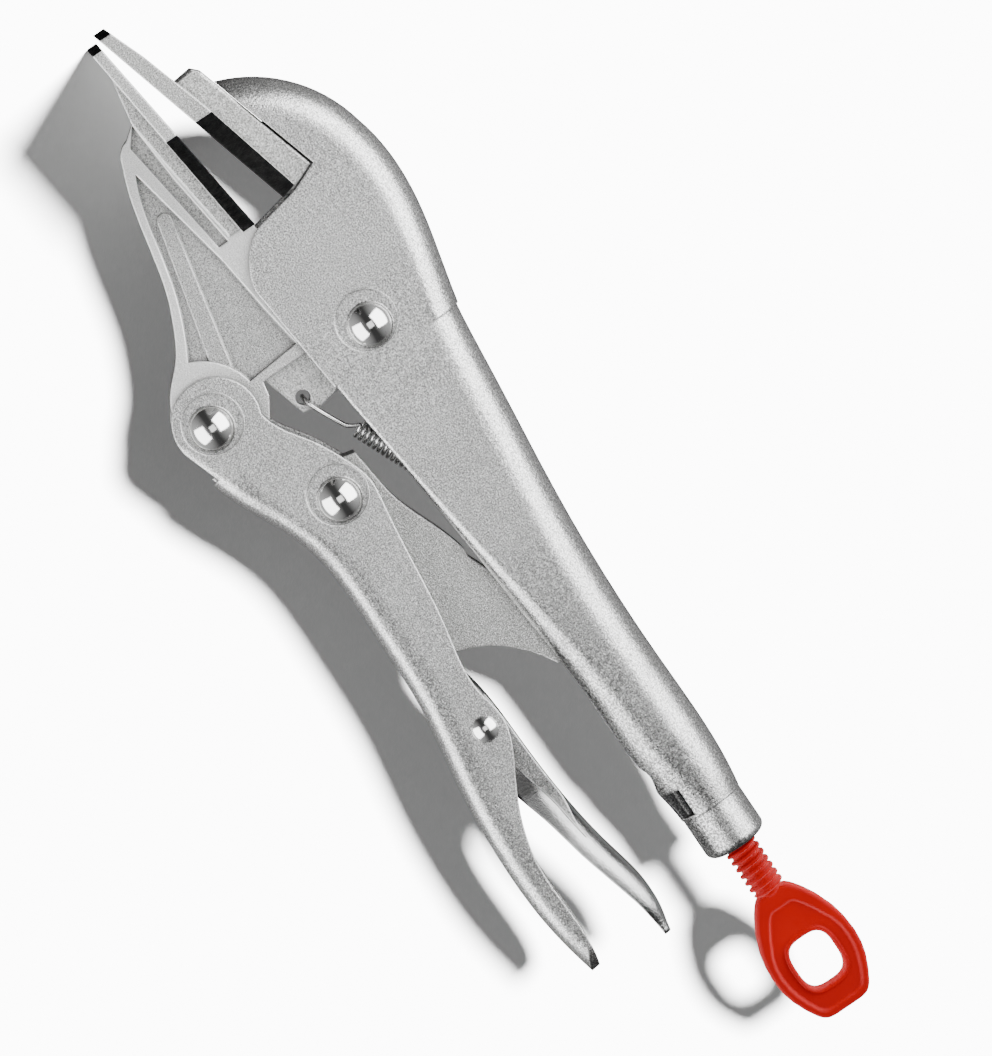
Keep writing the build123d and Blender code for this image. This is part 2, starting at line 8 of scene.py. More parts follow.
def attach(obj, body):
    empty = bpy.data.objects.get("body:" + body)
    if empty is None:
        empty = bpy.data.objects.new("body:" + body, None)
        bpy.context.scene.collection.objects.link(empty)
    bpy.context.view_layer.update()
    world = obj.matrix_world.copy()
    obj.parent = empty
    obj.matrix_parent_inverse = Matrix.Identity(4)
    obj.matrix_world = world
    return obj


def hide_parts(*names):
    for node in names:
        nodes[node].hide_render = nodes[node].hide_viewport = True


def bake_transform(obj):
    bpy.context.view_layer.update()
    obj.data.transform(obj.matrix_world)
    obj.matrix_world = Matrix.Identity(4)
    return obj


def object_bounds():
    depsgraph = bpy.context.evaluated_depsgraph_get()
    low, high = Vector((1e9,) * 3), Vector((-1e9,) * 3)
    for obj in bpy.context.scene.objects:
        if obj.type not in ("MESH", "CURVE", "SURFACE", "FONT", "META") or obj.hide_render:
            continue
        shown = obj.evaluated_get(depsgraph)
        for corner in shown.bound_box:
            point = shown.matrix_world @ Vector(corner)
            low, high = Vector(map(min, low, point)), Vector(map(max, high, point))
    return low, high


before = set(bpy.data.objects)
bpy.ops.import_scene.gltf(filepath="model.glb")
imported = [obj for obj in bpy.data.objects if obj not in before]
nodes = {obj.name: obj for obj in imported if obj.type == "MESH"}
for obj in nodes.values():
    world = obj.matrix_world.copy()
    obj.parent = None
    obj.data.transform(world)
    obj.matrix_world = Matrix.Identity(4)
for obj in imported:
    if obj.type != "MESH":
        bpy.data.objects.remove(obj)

CAD_BOX = [list(corner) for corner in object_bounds()]
MM = 0.001


# ------------------------------------------------------------------ materials
class Graph:
    """A short way to write a material's nodes."""

    def __init__(self, name):
        self.material = bpy.data.materials.new(name)
        self.material.use_nodes = True
        self.tree = self.material.node_tree
        self.tree.nodes.clear()
        self.out = self.tree.nodes.new("ShaderNodeOutputMaterial")
        self.shader = self.tree.nodes.new("ShaderNodeBsdfPrincipled")
        self.join(self.shader.outputs[0], self.out.inputs[0])
        self.coords = self.tree.nodes.new("ShaderNodeTexCoord").outputs["Object"]

    def join(self, source, target):
        self.tree.links.new(source, target)

    def put(self, value, socket):
        if isinstance(value, bpy.types.NodeSocket):
            self.join(value, socket)
        else:
            socket.default_value = value

    def noise(self, scale, detail=3.0, rough=0.55):
        node = self.tree.nodes.new("ShaderNodeTexNoise")
        node.inputs["Scale"].default_value = scale
        node.inputs["Detail"].default_value = detail
        node.inputs["Roughness"].default_value = rough
        self.join(self.coords, node.inputs["Vector"])
        return node.outputs["Fac"]

    def ramp(self, value, low, high, a=0.0, b=1.0):
        node = self.tree.nodes.new("ShaderNodeMapRange")
        node.interpolation_type = "SMOOTHSTEP"
        self.put(value, node.inputs["Value"])
        node.inputs["From Min"].default_value = low
        node.inputs["From Max"].default_value = high
        node.inputs["To Min"].default_value = a
        node.inputs["To Max"].default_value = b
        return node.outputs["Result"]

    def math(self, kind, a, b=0.0):
        node = self.tree.nodes.new("ShaderNodeMath")
        node.operation = kind
        self.put(a, node.inputs[0])
        self.put(b, node.inputs[1])
        return node.outputs[0]

    def product(self, *factors):
        result = factors[0]
        for factor in factors[1:]:
            result = self.math("MULTIPLY", result, factor)
        return result

    def mix(self, factor, a, b):
        node = self.tree.nodes.new("ShaderNodeMix")
        node.data_type = "RGBA"
        self.put(factor, node.inputs[0])
        self.put(a if not isinstance(a, tuple) else (*a, 1.0), node.inputs[6])
        self.put(b if not isinstance(b, tuple) else (*b, 1.0), node.inputs[7])
        return node.outputs[2]

    def axis(self, vector, which):
        node = self.tree.nodes.new("ShaderNodeSeparateXYZ")
        self.join(vector, node.inputs[0])
        return node.outputs[which]

    def place(self, which):
        """The surface point's own coordinate along one of the object's axes, in metres."""
        return self.axis(self.coords, which)

    def bump(self, height, strength, distance, under=None):
        """Bumped normal, on top of another normal where one is given."""
        node = self.tree.nodes.new("ShaderNodeBump")
        node.inputs["Strength"].default_value = strength
        node.inputs["Distance"].default_value = distance
        self.put(height, node.inputs["Height"])
        if under is not None:
            self.join(under, node.inputs["Normal"])
        return node.outputs[0]

    def bevel(self, radius):
        """Normal that rounds sharp edges to a radius."""
        node = self.tree.nodes.new("ShaderNodeBevel")
        node.samples = 4
        node.inputs["Radius"].default_value = radius
        return node.outputs[0]

    def rim(self, rounded):
        """1 on the thin line along sharp edges, where the rounded normal leaves the surface's own."""
        node = self.tree.nodes.new("ShaderNodeVectorMath")
        node.operation = "DOT_PRODUCT"
        geometry = self.tree.nodes.new("ShaderNodeNewGeometry")
        self.join(rounded, node.inputs[0])
        self.join(geometry.outputs["Normal"], node.inputs[1])
        return self.ramp(node.outputs["Value"], 0.86, 0.965, 1.0, 0.0)

    def set(self, name, value):
        self.put(value, self.shader.inputs[name])


WORN_EDGE_AND_HIGHLIGHT = (1.0, 1.0, 0.99)
SPARKLE = (0.98, 0.98, 0.97)
CREASE_PAINTED_SHADE = (0.06, 0.06, 0.06)
PAINTED_HIGHLIGHT_TONE = (0.97, 0.97, 0.96)
DARK_GRAIN_AND_SHADE = (0.10, 0.10, 0.098)
DARK_PAINTED_SHADE = (0.018, 0.018, 0.019)
PIT_SHADE = 0.30
EDGE_RADIUS = 0.45 * MM
CREASE_SHADE_REACH = 1.3 * MM


def plated(
    name, base, dark, grain, rough, edge=0.85, speckle=0.8,
    painted_shade_zone=None, grain_and_shade_zone=None, painted_highlight_zone=None,
):
    """Blasted steel under bright plate: sparkling grain, soft blotches, worn edges doubling as painted
    highlight, painted shade in creases, and zones of grain, painted shade and painted highlight.
    """
    g = Graph(name)
    fine = g.noise(4200.0 * grain, 1.0, 0.5)
    mid = g.noise(1900.0 * grain, 2.0, 0.6)
    blotch = g.noise(90.0, 3.0, 0.5)
    sparkle = g.ramp(fine, 0.50, 0.66)
    pits = g.ramp(fine, 0.34, 0.50, 1.0, 0.0)
    clumps = g.ramp(mid, 0.35, 0.65, 0.55, 1.0)
    colour = g.mix(g.ramp(blotch, 0.3, 0.7, 0.0, 0.6), base, dark)
    colour = g.mix(g.product(pits, clumps, speckle), colour, tuple(c * PIT_SHADE for c in dark))
    colour = g.mix(g.product(sparkle, clumps, speckle), colour, SPARKLE)
    soft = g.bevel(EDGE_RADIUS)
    # worn, lighter plate on sharp edges, which also serves as painted highlight lines along them
    colour = g.mix(g.product(g.rim(soft), edge), colour, WORN_EDGE_AND_HIGHLIGHT)
    # painted shade: the colour darkens where ambient occlusion finds creases and inside corners
    crease_shade = g.tree.nodes.new("ShaderNodeAmbientOcclusion")
    crease_shade.samples = 4
    crease_shade.inputs["Distance"].default_value = CREASE_SHADE_REACH
    colour = g.mix(g.ramp(crease_shade.outputs["AO"], 0.35, 0.95, 0.80, 0.0), colour, CREASE_PAINTED_SHADE)
    # zones, in order: painted highlight; darker grain on some parts and painted shade on others; darkest
    # painted shade
    for zone, shade in ((painted_highlight_zone, PAINTED_HIGHLIGHT_TONE), (grain_and_shade_zone, DARK_GRAIN_AND_SHADE), (painted_shade_zone, DARK_PAINTED_SHADE)):
        if zone is not None:
            colour = g.mix(zone(g), colour, shade)
    g.set("Base Color", colour)
    g.set("Metallic", 1.0)
    g.set("Roughness", g.ramp(mid, 0.3, 0.7, rough - 0.06, rough + 0.08))
    coarse = g.bump(mid, 0.40, 0.12 * MM, soft)
    g.set("Normal", g.bump(fine, 0.45, 0.08 * MM, coarse))
    return g.material


# Masks below give 0 to 1 over a surface. Their numbers are places on the part, in metres.
def face_mask(g, which, low, high, sign=1.0):
    """How far the surface's own normal leans along one of the object's axes."""
    geometry = g.tree.nodes.new("ShaderNodeNewGeometry")
    normal = g.tree.nodes.new("ShaderNodeVectorTransform")
    normal.vector_type = "NORMAL"
    normal.convert_from = "WORLD"
    normal.convert_to = "OBJECT"
    g.join(geometry.outputs["True Normal"], normal.inputs[0])
    along = g.axis(normal.outputs[0], which)
    return g.ramp(g.product(along, sign), low, high)


def plate_face_painted_shade(g):
    """Painted shade on the jaw plates' chamfered corners and rear tapers, where the plate's faces lean along
    the object's X axis.
    """
    leaning = face_mask(g, "X", 0.45, 0.62)
    blunt = g.math("SUBTRACT", 1.0, face_mask(g, "X", 0.90, 0.96, -1.0))
    front = g.product(face_mask(g, "X", 0.45, 0.62, -1.0), blunt)
    streaks = g.ramp(g.noise(700.0, 2.0, 0.5), 0.3, 0.7, 0.955, 1.0)
    wide = g.ramp(g.math("ABSOLUTE", g.place("Z")), 0.0075, 0.0085)
    return g.product(g.math("MAXIMUM", leaning, front), wide, streaks)


def tail_recess_painted_shade(g):
    """Painted shade on the reliefs beside the seam at the tail, dark as a deep recess."""
    x = g.place("X")
    start = g.ramp(x, 0.1716, 0.1722)
    end = g.ramp(x, 0.1776, 0.1779, 1.0, 0.0)
    low = g.ramp(g.place("Y"), 0.0110, 0.0116, 1.0, 0.0)
    return g.product(start, end, low, 0.85)


def tail_grain(g):
    """Coarser, darker grain on the rolled part, most on the half towards the moving handle."""
    x = g.place("X")
    grains = g.ramp(g.noise(2600.0, 2.0, 0.6), 0.42, 0.60)
    rear = g.ramp(x, 0.105, 0.150)
    low = g.ramp(g.place("Y"), 0.0105, 0.0175, 1.0, 0.30)
    end = g.ramp(x, 0.158, 0.174, 0.75, 1.0)
    return g.product(grains, rear, low, end)


def web_painted_shade(g):
    """Painted shade on the recessed web and band of the forged jaw, darker than its raised rims."""
    x = g.place("X")
    deep = g.ramp(g.math("ABSOLUTE", g.place("Z")), 0.00505, 0.00555, 0.30, 0.0)
    return g.product(deep, g.ramp(x, 0.0150, 0.0165), g.ramp(x, 0.0675, 0.0680, 1.0, 0.0))


def rim_painted_highlight(g):
    """Painted highlight along the forged jaw's raised rims, lighter than the rest."""
    level = g.math("ABSOLUTE", g.place("Z"))
    above = g.ramp(level, 0.00530, 0.00560)
    below = g.ramp(level, 0.0058, 0.0062, 0.5, 0.0)
    return g.product(above, below, g.ramp(g.place("X"), 0.0600, 0.0680, 1.0, 0.0))


def paddle_painted_shade(g):
    """Painted shade in streaks on the lever's paddle, under its side flanges and at its tip."""
    x = g.place("X")
    streak = g.ramp(g.noise(160.0, 2.0, 0.5), 0.35, 0.6, 0.45, 0.95)
    tip = g.ramp(x, 0.1780, 0.1900, 0.0, 0.55)
    return g.product(g.math("MAXIMUM", g.ramp(x, 0.1600, 0.1690, 1.0, 0.0), tip), streak)


def bend_grain(g):
    """Speckled dark band just inside the moving handle's bent edge."""
    x = g.place("X")
    grains = g.ramp(g.noise(3400.0, 2.0, 0.6), 0.40, 0.62, 0.0, 0.75)
    sag = g.ramp(x, 0.080, 0.108, -0.0262, -0.0187)
    rise = g.math("SUBTRACT", g.place("Y"), g.math("SUBTRACT", sag, g.ramp(x, 0.125, 0.165, 0.0, 0.0040)))
    band = g.product(g.ramp(rise, 0.0016, 0.0028), g.ramp(rise, 0.0042, 0.0060, 1.0, 0.0))
    return g.product(grains, band, g.ramp(x, 0.078, 0.081))


satin = plated("satin_plate_look", (0.50, 0.50, 0.495), (0.40, 0.40, 0.395), 1.0, 0.33)
satin_bend = plated(
    "moving_handle_look", (0.50, 0.50, 0.495), (0.40, 0.40, 0.395), 1.0, 0.33, grain_and_shade_zone=bend_grain
)
satin_tail = plated(
    "fixed_handle_look", (0.51, 0.51, 0.505), (0.41, 0.41, 0.405), 0.9, 0.30,
    painted_shade_zone=tail_recess_painted_shade, grain_and_shade_zone=tail_grain,
)
jaw_look = plated(
    "jaw_plate_look", (0.52, 0.52, 0.51), (0.42, 0.42, 0.41), 1.0, 0.36, painted_shade_zone=plate_face_painted_shade
)
forged_look = plated(
    "moving_jaw_look", (0.60, 0.60, 0.59), (0.48, 0.48, 0.475), 1.0, 0.36,
    painted_shade_zone=plate_face_painted_shade, grain_and_shade_zone=web_painted_shade, painted_highlight_zone=rim_painted_highlight,
)
link_look = plated("link_plate_look", (0.44, 0.44, 0.43), (0.36, 0.36, 0.35), 1.1, 0.34)
lever_look = plated(
    "bright_plate_look", (0.44, 0.44, 0.44), (0.30, 0.30, 0.30), 1.3, 0.19,
    speckle=0.12, grain_and_shade_zone=paddle_painted_shade,
)


def polished():
    """Polished rivet steel with faint scuffs."""
    g = Graph("polished_rivet_look")
    scuff = g.noise(1500.0, 3.0, 0.6)
    rings = g.noise(260.0, 2.0, 0.5)
    g.set("Base Color", g.mix(g.ramp(scuff, 0.58, 0.75, 0.0, 0.35), (0.86, 0.86, 0.85), (0.45, 0.45, 0.45)))
    g.set("Metallic", 1.0)
    g.set("Roughness", g.ramp(rings, 0.35, 0.7, 0.05, 0.13))
    g.set("Normal", g.bump(scuff, 0.05, 0.03 * MM, g.bevel(0.35 * MM)))
    return g.material


def wire():
    """Drawn spring wire."""
    g = Graph("spring_wire_look")
    draw = g.noise(900.0, 2.0, 0.5)
    g.set("Base Color", g.mix(g.ramp(draw, 0.35, 0.7), (0.85, 0.85, 0.84), (0.55, 0.55, 0.55)))
    g.set("Metallic", 1.0)
    g.set("Roughness", g.ramp(draw, 0.3, 0.7, 0.18, 0.32))
    g.set("Normal", g.bump(draw, 0.12, 0.03 * MM))
    return g.material


def red():
    """Dull red coating with slight orange peel, thinner on the edges."""
    g = Graph("red_coat_look")
    cloud = g.noise(55.0, 3.0, 0.5)
    peel = g.noise(900.0, 2.0, 0.5)
    dots = g.noise(2600.0, 2.0, 0.6)
    soft = g.bevel(0.3 * MM)
    colour = g.mix(g.ramp(cloud, 0.3, 0.7), (0.26, 0.0006, 0.0004), (0.21, 0.0005, 0.0003))
    colour = g.mix(g.ramp(dots, 0.66, 0.8, 0.0, 0.5), colour, (0.15, 0.001, 0.001))
    g.set("Base Color", g.mix(g.product(g.rim(soft), 0.4), colour, (0.36, 0.006, 0.005)))
    g.set("Roughness", g.ramp(peel, 0.3, 0.7, 0.42, 0.54))
    g.set("Specular IOR Level", 0.06)
    g.set("Normal", g.bump(peel, 0.10, 0.05 * MM, soft))
    return g.material


# near-black look for the sheet that stands in for shade inside the tail
dark_liner_shade_look = plated(
    "dark_liner_shade_look", (0.050, 0.050, 0.050), (0.030, 0.030, 0.030), 1.0, 0.55, edge=0.1, speckle=0.3
)
rivet_look = polished()
wire_look = wire()
red_look = red()


def wear(obj, material):
    obj.data.materials.clear()
    obj.data.materials.append(material)


def repaint(node, material):
    for slot in nodes[node].material_slots:
        slot.link = "OBJECT"
        slot.material = material


repaint("threaded_collar", satin_tail)
repaint("fixed_jaw", jaw_look)
repaint("moving_jaw", forged_look)
repaint("moving_handle", satin_bend)
repaint("toggle_link", link_look)
for rivet in ("jaw_rivet", "handle_rivet", "link_rivet", "lever_rivet"):
    repaint(rivet, rivet_look)


# ------------------------------------------------------------------- geometry
def mesh_object(name, points, faces, material, shade_smooth=True):
    """New object from points in metres, wearing one material."""
    mesh = bpy.data.meshes.new(name)
    mesh.from_pydata([tuple(p) for p in points], [], faces)
    mesh.update()
    if shade_smooth:
        mesh.polygons.foreach_set("use_smooth", [True] * len(mesh.polygons))
    obj = bpy.data.objects.new(name, mesh)
    bpy.context.scene.collection.objects.link(obj)
    wear(obj, material)
    return obj


def outward(obj):
    """Turn every face's normal to the outside."""
    bm = bmesh.new()
    bm.from_mesh(obj.data)
    bmesh.ops.recalc_face_normals(bm, faces=bm.faces)
    bm.to_mesh(obj.data)
    bm.free()


def band_faces(rows, around):
    """Faces between neighbouring rows of a closed tube, each row having the same number of points."""
    faces = []
    for i in range(rows - 1):
        for k in range(around):
            n = (k + 1) % around
            faces.append((i * around + k, i * around + n, (i + 1) * around + n, (i + 1) * around + k))
    return faces


def end_faces(rows, around):
    """The two flat ends of a tube."""
    return [tuple(reversed(range(around))), tuple((rows - 1) * around + k for k in range(around))]


def smooth(t):
    """0 to 1 with no corner at either end."""
    t = min(max(t, 0.0), 1.0)
    return t * t * (3 - 2 * t)


# fixed handle: the head's flat sides ease into the tube's, with no step between them
HEAD_OUT, TUBE_OUT = 8.0, 7.8
EASE_FROM, EASE_LENGTH, EASE_END = 52.0, 24.0, 76.4
FLAT_BAND = 0.05
BELOW_TUBE = 0.004
shell_mesh = nodes["fixed_handle"].data.copy()
for vertex in shell_mesh.vertices:
    x, z = vertex.co.x / MM, vertex.co.z / MM
    if abs(z) > HEAD_OUT - FLAT_BAND and EASE_FROM < x < EASE_END:
        drop = (HEAD_OUT - TUBE_OUT + BELOW_TUBE) * smooth((x - EASE_FROM) / EASE_LENGTH)
        vertex.co.z = math.copysign(min(abs(z), HEAD_OUT - drop), z) * MM
handle_shell = bpy.data.objects.new("handle_shell", shell_mesh)
bpy.context.scene.collection.objects.link(handle_shell)
wear(handle_shell, satin_tail)
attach(handle_shell, "fixed_body")
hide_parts("fixed_handle")


# near-black sheet inside the tail, behind the reliefs, standing in for the shaded inside of the tail: a bar
# with its ends tapered
LINER_X, LINER_Y = (167.6, 177.9), (9.9, 11.4)
LINER_HALF, LINER_TAPER, LINER_INSET = 2.9, 0.7, 0.35
points = []
for z in (-LINER_HALF, LINER_TAPER - LINER_HALF, LINER_HALF - LINER_TAPER, LINER_HALF):
    inset = LINER_INSET if abs(z) == LINER_HALF else 0.0
    low, high = LINER_Y[0] + inset, LINER_Y[1] - inset
    for x, y in ((LINER_X[0], low), (LINER_X[1], low), (LINER_X[1], high), (LINER_X[0], high)):
        points.append((x * MM, y * MM, z * MM))
faces = band_faces(4, 4) + end_faces(4, 4)
tail_shade_liner = mesh_object("tail_shade_liner", points, faces, dark_liner_shade_look, shade_smooth=False)
outward(tail_shade_liner)
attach(tail_shade_liner, "fixed_body")


# release lever: a sheet folded into a rounded channel, open towards the moving handle
def on_curve(table, x):
    """Height at x on the straight runs between the table's points."""
    if x <= table[0][0]:
        return table[0][1]
    for (ax, ay), (bx, by) in zip(table, table[1:]):
        if x <= bx:
            return ay + (by - ay) * (x - ax) / (bx - ax)
    return table[-1][1]


LEVER_TOP = [
    (131.6, -9.2), (137.0, -8.0), (142.3, -7.55), (151.9, -7.3), (158.0, -6.95), (164.8, -6.3),
    (170.0, -5.55), (175.0, -4.65), (180.0, -3.5), (184.0, -2.95), (187.5, -3.0), (190.5, -3.5),
    (193.3, -4.5),
]
LEVER_LOW = [
    (131.4, -10.6), (138.0, -11.8), (139.4, -14.6), (143.0, -15.75), (150.0, -15.35), (156.9, -13.75),
    (163.4, -11.9), (172.0, -10.15), (179.8, -8.05), (186.0, -6.4), (190.0, -5.85), (193.4, -5.5),
]
LEVER_FRONT, LEVER_REAR = 131.6, 193.3
LEVER_HALF = 5.55
LEVER_SHEET = 0.9
LEVER_STEPS, LEVER_AROUND = 90, 40
TOP_SPREAD = (-2.4, -1.2, 0.0, 1.2, 2.4)
LOW_SPREAD = (-1.6, -0.8, 0.0, 0.8, 1.6)
CREST_SHARE, CORNER_SHARE = 0.3, 0.45


def lever_section(x):
    """The folded channel's top, low edge, half width and corner radius at x."""
    top = sum(on_curve(LEVER_TOP, x + d) for d in TOP_SPREAD) / len(TOP_SPREAD)
    low = sum(on_curve(LEVER_LOW, x + d) for d in LOW_SPREAD) / len(LOW_SPREAD)
    low = min(low, top - LEVER_SHEET)
    half = LEVER_HALF - 1.1 * smooth((176.0 - x) / 8.0) - 1.5 * smooth((x - 183.0) / 10.3) ** 2
    roundness = 1.0 + 3.4 * smooth((x - 146.0) / 16.0)
    return top, low, half, min(roundness, (top - low) * 0.86, half * 0.95)


points, faces = [], []
WALL_FROM = CREST_SHARE + CORNER_SHARE
for i in range(LEVER_STEPS + 1):
    x = LEVER_FRONT + (LEVER_REAR - LEVER_FRONT) * i / LEVER_STEPS
    top, low, half, corner = lever_section(x)
    for k in range(LEVER_AROUND + 1):
        t = k / LEVER_AROUND * 2 - 1
        side, t = (1 if t >= 0 else -1), abs(t)
        if t < CREST_SHARE:
            y, z = top, (half - corner) * t / CREST_SHARE
        elif t < WALL_FROM:
            a = (t - CREST_SHARE) / CORNER_SHARE * math.pi / 2
            y, z = top - corner * (1 - math.cos(a)), half - corner * (1 - math.sin(a))
        else:
            y, z = top - corner - (top - low - corner) * (t - WALL_FROM) / (1 - WALL_FROM), half
        points.append((x * MM, y * MM, side * z * MM))
for i in range(LEVER_STEPS):
    for k in range(LEVER_AROUND):
        a = i * (LEVER_AROUND + 1) + k
        faces.append((a, a + 1, a + LEVER_AROUND + 2, a + LEVER_AROUND + 1))
lever = mesh_object("lever_paddle", points, faces, lever_look)
folded = lever.modifiers.new("sheet", "SOLIDIFY")
folded.thickness = LEVER_SHEET * MM
folded.offset = -1.0
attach(lever, "release_lever")
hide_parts("release_lever")


# release lever's side flanges, which stand on the channel's wall and taper out along it
FLANGE_FRONT, FLANGE_REAR, FLANGE_STEPS = 137.4, 170.0, 48
FLANGE_BELOW_CREST = 0.1
FLANGE_ABOVE_LOW = 0.05
FLANGE_TIP = 0.15
FLANGE_IN, FLANGE_OUT = 0.35, 0.15


def wall_at(depth, half, corner):
    """Half width of the folded channel at a depth below its top."""
    if depth >= corner:
        return half
    along = 1.0 - max(depth, 0.0) / corner
    return half - corner * (1.0 - math.sqrt(1.0 - along * along))


for side, name in ((1, "lever_flange_near"), (-1, "lever_flange_far")):
    points = []
    for i in range(FLANGE_STEPS + 1):
        x = FLANGE_FRONT + (FLANGE_REAR - FLANGE_FRONT) * i / FLANGE_STEPS
        crest, _, half, corner = lever_section(x)
        upper = crest - FLANGE_BELOW_CREST
        depth = 7.0 - 3.4 * smooth((x - 141.0) / 12.0) - 1.7 * smooth((x - 150.0) / 13.0)
        low = max(upper - depth, on_curve(LEVER_LOW, x) + FLANGE_ABOVE_LOW)
        top = upper - (upper - low - FLANGE_TIP) * smooth((x - 160.0) / 10.0)
        wall = wall_at(crest - low, half, corner)
        inner = wall - FLANGE_IN
        outer = LEVER_HALF + (wall + FLANGE_OUT - LEVER_HALF) * smooth((x - 146.0) / 12.0)
        for y, z in ((top, inner), (top, outer), (low, outer), (low, inner)):
            points.append((x * MM, y * MM, side * z * MM))
    faces = band_faces(FLANGE_STEPS + 1, 4) + end_faces(FLANGE_STEPS + 1, 4)
    flange = mesh_object(name, points, faces, satin, shade_smooth=False)
    outward(flange)
    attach(flange, "release_lever")


# adjusting screw: the rod with a real helical thread
SCREW_Y = 14.9
TIP, THREAD_FROM, THREAD_TO = 144.9, 163.0, 198.7
PLAIN, ROOT, CREST, PITCH = 3.0, 2.55, 3.25, 1.5


def thread_radius(x, turn):
    """Radius of the rod at x, with a rounded thread that fades in and out."""
    phase = (x / PITCH - turn) % 1.0
    wave = 0.5 - 0.5 * math.cos(2 * math.pi * phase)
    wave = smooth(wave * 1.25 - 0.12)
    fade = smooth((x - THREAD_FROM) / 1.6) * smooth((THREAD_TO - x) / 1.2)
    plain = PLAIN + (ROOT - PLAIN) * smooth((x - THREAD_FROM) / 1.2)
    neck = ROOT - 1.15 * smooth((x - THREAD_TO + 0.4) / 2.0)
    base = min(plain, neck) if x > THREAD_TO - 0.6 else plain
    chamfer = 0.8 * smooth((TIP + 0.9 - x) / 0.9)
    return base + (CREST - ROOT) * wave * fade - chamfer


AROUND = 56
PLAIN_STEP, THREAD_STEP, NECK_STEP, NECK_STEPS = 0.3, 0.125, 0.25, 8
stations = [TIP + PLAIN_STEP * i for i in range(int((THREAD_FROM - TIP) / PLAIN_STEP))]
thread_steps = int((THREAD_TO + 0.6 - THREAD_FROM) / THREAD_STEP)
stations += [THREAD_FROM + THREAD_STEP * i for i in range(thread_steps)]
stations += [THREAD_TO + 0.8 + NECK_STEP * i for i in range(NECK_STEPS)]
points = []
for x in stations:
    for k in range(AROUND):
        turn = k / AROUND
        radius = thread_radius(x, turn)
        angle = 2 * math.pi * turn
        points.append((x * MM, (SCREW_Y + radius * math.cos(angle)) * MM, radius * math.sin(angle) * MM))
faces = band_faces(len(stations), AROUND) + end_faces(len(stations), AROUND)
screw_rod = mesh_object("screw_rod", points, faces, red_look)


# the flat pull ring: a loop of rounded section with a shallow dish on both faces
RING_CENTRE = (213.8, SCREW_Y)
RING_HALF = 2.25
RING_EDGE = 0.8
RING_DISH = 0.7
RING_NECK_SETBACK = 1.9
RING_NECK, RING_END = -15.5, 10.6
HOLE_HALF, HOLE_POWER = (5.1, 4.25), 3.2
RING_OUTLINE = [
    (198.3, 2.9), (199.6, 4.1), (201.2, 5.25), (203.8, 6.7), (207.4, 8.1), (210.2, 8.7), (213.0, 8.9),
    (215.6, 8.7), (218.0, 8.1), (220.6, 7.0), (222.8, 5.75), (223.7, 5.0), (224.25, 4.0), (224.4, 2.6),
]


def outer_reach(angle):
    """Distance from the hole's middle to the ring's outline in one direction."""
    half = [(x - RING_CENTRE[0], y) for x, y in RING_OUTLINE]
    loop = [(RING_NECK, 0.0)] + half + [(RING_END, 0.0)]
    dx, dy = math.cos(angle), abs(math.sin(angle))
    for (ax, ay), (bx, by) in zip(loop, loop[1:]):
        ex, ey = bx - ax, by - ay
        cross = dx * ey - dy * ex
        if abs(cross) < 1e-9:
            continue
        reach = (ax * ey - ay * ex) / cross
        along = (ax * dy - ay * dx) / cross
        if reach > 0 and -1e-6 <= along <= 1 + 1e-6:
            return reach
    return RING_END


def hole_reach(angle):
    """Distance from the hole's middle to its rounded-square edge."""
    dx, dy = abs(math.cos(angle)), abs(math.sin(angle))
    across = (dx / HOLE_HALF[0]) ** HOLE_POWER + (dy / HOLE_HALF[1]) ** HOLE_POWER
    return 1.0 / across ** (1 / HOLE_POWER)


RING_STEPS, RING_ARC, RING_FLAT = 192, 6, 30
reaches = [outer_reach(2 * math.pi * i / RING_STEPS) for i in range(RING_STEPS)]
for _ in range(3):
    reaches = [
        (reaches[i - 1] + 2 * reaches[i] + reaches[(i + 1) % RING_STEPS]) / 4 for i in range(RING_STEPS)
    ]
reaches = [min(r, outer_reach(2 * math.pi * i / RING_STEPS)) for i, r in enumerate(reaches)]


def ring_section(inner, outer, setback):
    """Closed section of the ring from its hole to its outline: (distance, height) pairs."""
    width = outer - inner
    edge = min(RING_EDGE, width * 0.3)
    top = []
    for i in range(RING_ARC + 1):
        a = math.pi / 2 * (1 - i / RING_ARC)
        top.append((inner + edge * (1 - math.sin(a)), RING_HALF - edge * (1 - math.cos(a))))
    for i in range(1, RING_FLAT):
        d = inner + edge + i / RING_FLAT * (width - 2 * edge)
        from_rim = outer - edge - d
        dish = RING_DISH * smooth((from_rim - 0.3 - setback) / 0.9)
        top.append((d, RING_HALF - dish * min(1.0, width / 2.5)))
    for i in range(RING_ARC + 1):
        a = math.pi / 2 * i / RING_ARC
        top.append((outer - edge + edge * math.sin(a), RING_HALF - edge * (1 - math.cos(a))))
    return top + [(d, -h) for d, h in reversed(top)]


points, faces = [], []
for i in range(RING_STEPS):
    angle = 2 * math.pi * i / RING_STEPS
    setback = RING_NECK_SETBACK * max(0.0, -math.cos(angle)) ** 3
    section = ring_section(hole_reach(angle), reaches[i], setback)
    for d, h in section:
        points.append(
            ((RING_CENTRE[0] + d * math.cos(angle)) * MM, (RING_CENTRE[1] + d * math.sin(angle)) * MM, h * MM)
        )
rows = len(section)
for i in range(RING_STEPS):
    j = (i + 1) % RING_STEPS
    for k in range(rows):
        n = (k + 1) % rows
        faces.append((i * rows + k, i * rows + n, j * rows + n, j * rows + k))
pull_ring = mesh_object("pull_ring", points, faces, red_look)
for piece in (screw_rod, pull_ring):
    outward(piece)
    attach(piece, "screw")
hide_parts("adjusting_screw")
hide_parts("adjusting_screw")


